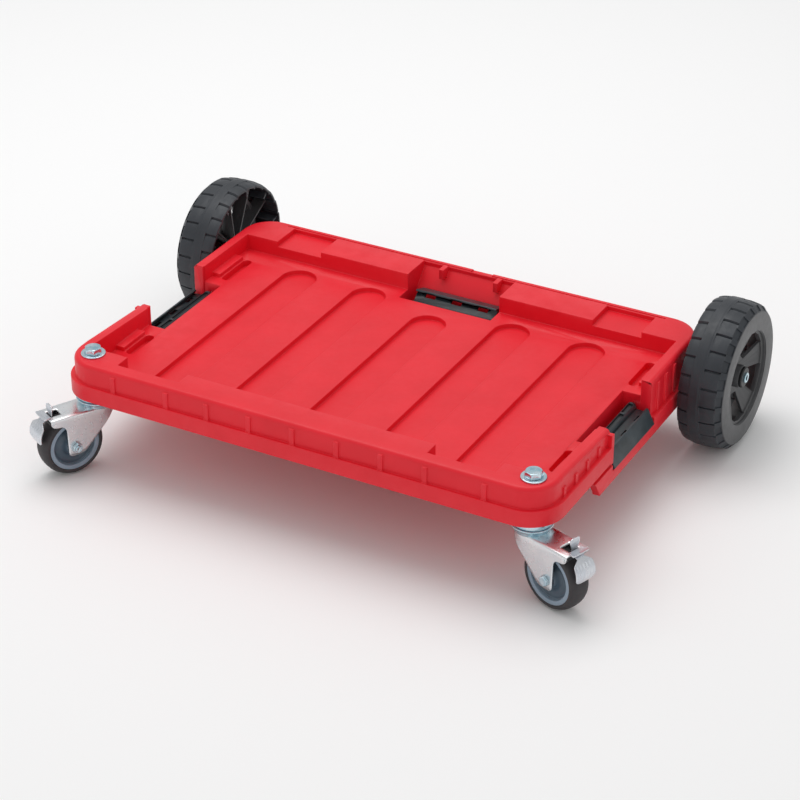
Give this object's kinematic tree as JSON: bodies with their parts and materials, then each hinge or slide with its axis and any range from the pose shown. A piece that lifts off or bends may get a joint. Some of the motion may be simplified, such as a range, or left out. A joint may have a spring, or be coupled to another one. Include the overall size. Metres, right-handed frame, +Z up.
{
  "type": "tool box platform dolly",
  "caption": "Low moulded platform dolly: ribbed deck with raised rim, swing-over box latches, fixed rear wheels and braked swivel casters in front.",
  "frame": {"origin": "on the floor under the middle of the overall box", "axes": "+X to the right across the cart, +Y from the casters at the front to the large wheels at the rear, +Z up"},
  "size_m": [0.7034, 0.5344, 0.1706],
  "materials": {
    "deck_red": "moulded polypropylene, fine satin grain",
    "latch_black": "glass-filled nylon, satin",
    "zinc": "zinc-plated pressed steel",
    "bolt_zinc": "bright zinc plating with a blue tint",
    "bearing_steel": "polished balls",
    "wheel_tyre": "moulded tread, matt",
    "wheel_rim": "moulded, satin",
    "bush_black": "black nylon",
    "caster_tyre": "soft grey rubber, matt",
    "caster_rim": "moulded, satin",
    "brake_steel": "zinc-plated pressed steel",
    "release_black": "moulded, satin"
  },
  "bodies": {
    "platform": {"deck": "deck_red", "left_latch_pin": "zinc", "right_latch_pin": "zinc", "rear_latch_pin": "zinc", "rear_axle": "zinc", "caster_bolts": "bolt_zinc", "caster_bolt_washers": "bolt_zinc", "caster_lock_nuts": "bolt_zinc", "left_axle_spacer": "zinc", "left_axle_retainer": "latch_black", "left_caster_top_race": "zinc", "left_caster_balls": "bearing_steel", "left_caster_lower_race": "zinc", "right_axle_spacer": "zinc", "right_axle_retainer": "latch_black", "right_caster_top_race": "zinc", "right_caster_balls": "bearing_steel", "right_caster_lower_race": "zinc"},
    "rear_latch": {"rear_latch": "latch_black"},
    "left_latch": {"left_latch": "latch_black"},
    "left_wheel": {"left_wheel_tyre": "wheel_tyre", "left_wheel_rim": "wheel_rim", "left_wheel_bushes": "bush_black"},
    "left_caster": {"left_caster_fork": "zinc", "left_caster_axle": "zinc", "left_caster_axle_nut": "zinc", "left_caster_sleeve": "zinc", "left_brake_pin": "zinc"},
    "left_caster_wheel": {"left_caster_tyre": "caster_tyre", "left_caster_rim": "caster_rim"},
    "left_brake": {"left_brake_pedal": "brake_steel", "left_brake_release": "release_black"},
    "right_latch": {"right_latch": "latch_black"},
    "right_wheel": {"right_wheel_tyre": "wheel_tyre", "right_wheel_rim": "wheel_rim", "right_wheel_bushes": "bush_black"},
    "right_caster": {"right_caster_fork": "zinc", "right_caster_axle": "zinc", "right_caster_axle_nut": "zinc", "right_caster_sleeve": "zinc", "right_brake_pin": "zinc"},
    "right_caster_wheel": {"right_caster_tyre": "caster_tyre", "right_caster_rim": "caster_rim"},
    "right_brake": {"right_brake_pedal": "brake_steel", "right_brake_release": "release_black"}
  },
  "joints": [
    {"name": "rear_latch_hinge", "type": "hinge", "parent": "platform", "child": "rear_latch", "pos_m": [0.003, 0.13959, 0.0955], "axis": [1, 0, 0], "range_deg": [0, 55]},
    {"name": "left_latch_hinge", "type": "hinge", "parent": "platform", "child": "left_latch", "pos_m": [-0.2697, -0.00421, 0.0955], "axis": [0, 1, 0], "range_deg": [0, 100]},
    {"name": "left_wheel_spin", "type": "hinge", "parent": "platform", "child": "left_wheel", "pos_m": [-0.3262, 0.18189, 0.0853], "axis": [1, 0, 0], "continuous": true},
    {"name": "left_caster_swivel", "type": "hinge", "parent": "platform", "child": "left_caster", "pos_m": [-0.2655, -0.19021, 0.08], "axis": [0, 0, 1], "continuous": true},
    {"name": "left_caster_spin", "type": "hinge", "parent": "left_caster", "child": "left_caster_wheel", "pos_m": [-0.2824, -0.222, 0.037], "axis": [-0.8829, 0.4695, 0], "continuous": true},
    {"name": "left_brake_press", "type": "hinge", "parent": "left_caster", "child": "left_brake", "pos_m": [-0.29367, -0.24319, 0.072], "axis": [0.8829, -0.4695, 0], "range_deg": [0, 8]},
    {"name": "right_latch_hinge", "type": "hinge", "parent": "platform", "child": "right_latch", "pos_m": [0.2697, -0.00421, 0.0955], "axis": [0, -1, 0], "range_deg": [0, 100]},
    {"name": "right_wheel_spin", "type": "hinge", "parent": "platform", "child": "right_wheel", "pos_m": [0.3262, 0.18189, 0.0853], "axis": [1, 0, 0], "continuous": true},
    {"name": "right_caster_swivel", "type": "hinge", "parent": "platform", "child": "right_caster", "pos_m": [0.2655, -0.19021, 0.08], "axis": [0, 0, 1], "continuous": true},
    {"name": "right_caster_spin", "type": "hinge", "parent": "right_caster", "child": "right_caster_wheel", "pos_m": [0.29954, -0.20193, 0.037], "axis": [-0.3256, -0.9455, 0], "continuous": true},
    {"name": "right_brake_press", "type": "hinge", "parent": "right_caster", "child": "right_brake", "pos_m": [0.32223, -0.20975, 0.072], "axis": [0.3256, 0.9455, 0], "range_deg": [0, 8]}
  ]
}
